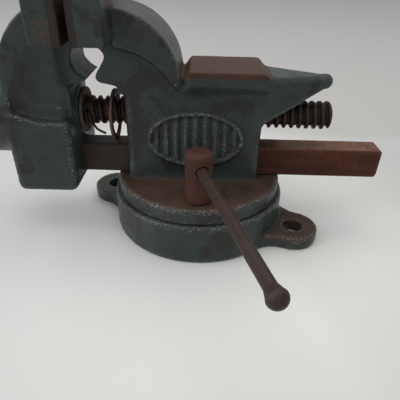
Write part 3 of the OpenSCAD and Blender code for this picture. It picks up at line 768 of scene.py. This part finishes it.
# Painted sheen: the thread's crests are lighter.
skin = mix(tree, combine(tree, "MULTIPLY", edge, 0.5), skin, "#4c3a31")
skin = mix(tree, combine(tree, "MULTIPLY", hollow, 0.8), skin, "#15100e")
finish_material(tree, {
    "Base Color": skin, "Roughness": remap(tree, patchy, 0.3, 0.7, 0.4, 0.66),
    "Metallic": 0.2, "Specular IOR Level": 0.3,
    "Normal": bumps(tree, speck, 0.4, 0.12 * mm)})

screw.data.materials.append(screw_steel)
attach(screw, "spindle")
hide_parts("spindle")


# ---- Washers on the screw ----
# Punched steel washers: one between the head and the boss, one kept by the split pin and a
# large loose one that hangs on the thread. Rust-brown faces with edges rubbed to a tan grey.

for node, name, body_name, place_slot in (
        ("thrust_washer", "head_washer", "spindle", "dark_steel"),
        ("retaining_washer", "pinned_washer", "spindle", "rusty_steel"),
        ("loose_washer", "hanging_washer", "loose_washer", "rusty_steel")):
    washer = worn_copy(node, name, 0.35 * mm, 2, 0, None, 0.04 * mm, 0.03 * mm)
    points = points_of(washer)
    low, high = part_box(node)
    from_middle = np.hypot(points[:, 1], points[:, 2] - (low.z + high.z) / 2)
    mark(washer, "grease", np.full(len(points), 0.45))
    mark(washer, "worn", ramp(from_middle, high.y - 1.2 * mm, high.y - 0.3 * mm))
    mark(washer, "hollow", 1 - ramp(from_middle, high.y - 1.0 * mm, high.y - 0.4 * mm))
    washer.data.materials.append(rusted)
    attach(washer, body_name)
    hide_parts(node)


# ---- Split pin ----
# One length of half-round soft wire folded to an eye, pushed through the screw next to the
# washer. The eye is behind, and both legs hang down in front, the long one bent outwards.
# The wire's route is given in mm from the pin's place on the screw's axis.

pin_x = -74.4 * mm
pin_lean = math.radians(-100)
wire = 0.8
straight = 9.8
eye_start = 10.8
eye_radius = 2.6
eye_opening = 0.5  # half of the angle left open in the eye, in radians
long_leg = [(11.2, -10.2, -13.0), (7.8, -10.3, -11.4), (5.4, -10.5, -9.6), (3.7, -10.9, -6.4),
            (2.1, -11.3, -2.6), (1.2, -11.2, 0.6)]
short_leg = [(-0.7, -11.3, 0.4), (-0.3, -11.6, -3.0), (0.4, -11.6, -6.2), (1.1, -11.5, -8.8)]

curve = bpy.data.curves.new("split_pin_wire", "CURVE")
curve.dimensions = "3D"
curve.bevel_depth = wire * mm
curve.bevel_resolution = 3
curve.use_fill_caps = True


def in_pin(along, up):
    """Place in mm from the screw's axis, up along the pin and along the screw."""
    return along, -up * math.sin(pin_lean), up * math.cos(pin_lean)


route = long_leg + [in_pin(wire, up) for up in (-straight, 0, straight)]
route += [in_pin(eye_radius * math.sin(turn), eye_start + eye_radius * (1 - math.cos(turn)))
          for turn in np.linspace(eye_opening, 2 * math.pi - eye_opening, 13)]
route += [in_pin(-wire, up) for up in (straight, 0, -straight)] + short_leg
line = curve.splines.new("POLY")
line.points.add(len(route) - 1)
for spot, (along, across, up) in zip(line.points, route):
    spot.co = (pin_x + along * mm, across * mm, screw_axis + up * mm, 1)
split = bpy.data.objects.new("split_pin_wire", curve)
scene.collection.objects.link(split)
curve.materials.append(black_steel)
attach(split, "spindle")
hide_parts("split_pin")


# ---- Handles: the bar through the screw's head and the lever of the swivel lock ----
# Round mild steel bars with upset ends, forged hot and left black. Hands have polished the
# scale to a purple brown, and fine rust stands in its dents.

# Browned bar steel: thin even oxide, satin, with specks of fine rust and lighter edges.
browned, tree = new_material("browned bar steel")
place = object_place(tree)
edge, hollow = [read_mark(tree, name) for name in ("edge", "hollow")]
patchy = lumps(tree, place, 9 * mm, 6, 0.6)
speck = lumps(tree, place, 1.4 * mm, 5, 0.62)
skin = mix(tree, patchy, "#2e2320", "#3f302b")
skin = mix(tree, remap(tree, speck, 0.55, 0.72, 0, 0.5), skin, "#4d3025")
skin = mix(tree, combine(tree, "MULTIPLY", edge, 0.4), skin, "#5e4c45")
skin = mix(tree, combine(tree, "MULTIPLY", hollow, 0.7), skin, "#241b18")
finish_material(tree, {
    "Base Color": skin, "Roughness": remap(tree, patchy, 0.3, 0.7, 0.42, 0.6),
    "Metallic": 0.2, "Specular IOR Level": 0.3,
    "Normal": bumps(tree, speck, 0.35, 0.12 * mm)})

for node, name, body_name, rounding in (
        ("spindle_handle", "turning_bar", "spindle_handle", 1),
        ("spindle_handle_ends", "turning_bar_ends", "spindle_handle", 2),
        ("lock_handle", "lock_lever", "lock_handle", 1),
        ("lock_handle_outer_end", "lock_lever_knob", "lock_handle", 2),
        ("lock_handle_inner_end", "lock_lever_stop", "lock_handle", 2)):
    bar_piece = worn_copy(node, name, 0.45 * mm, rounding, 0, None, 0.05 * mm, 0.10 * mm)
    bar_piece.data.materials.append(browned)
    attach(bar_piece, body_name)
    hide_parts(node)


# ---- Swivel lock nut ----
# A tall round nut turned from mild steel and drilled across for its lever, with a domed top.
# It has rusted as evenly as the free end of the bar.

nut = worn_copy("lock_nut", "lock_post", 0.5 * mm, 2, 0, None, 0.05 * mm, 0.06 * mm)
points = points_of(nut)
mark(nut, "grease", np.full(len(points), 0.3))
# Painted light: the nut is lighter near its top.
mark(nut, "worn", 0.4 * ramp(points[:, 2], lock_high.z - 5 * mm, lock_high.z - 1 * mm))
nut.data.materials.append(rusted)
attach(nut, "lock_nut")
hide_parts("lock_nut")
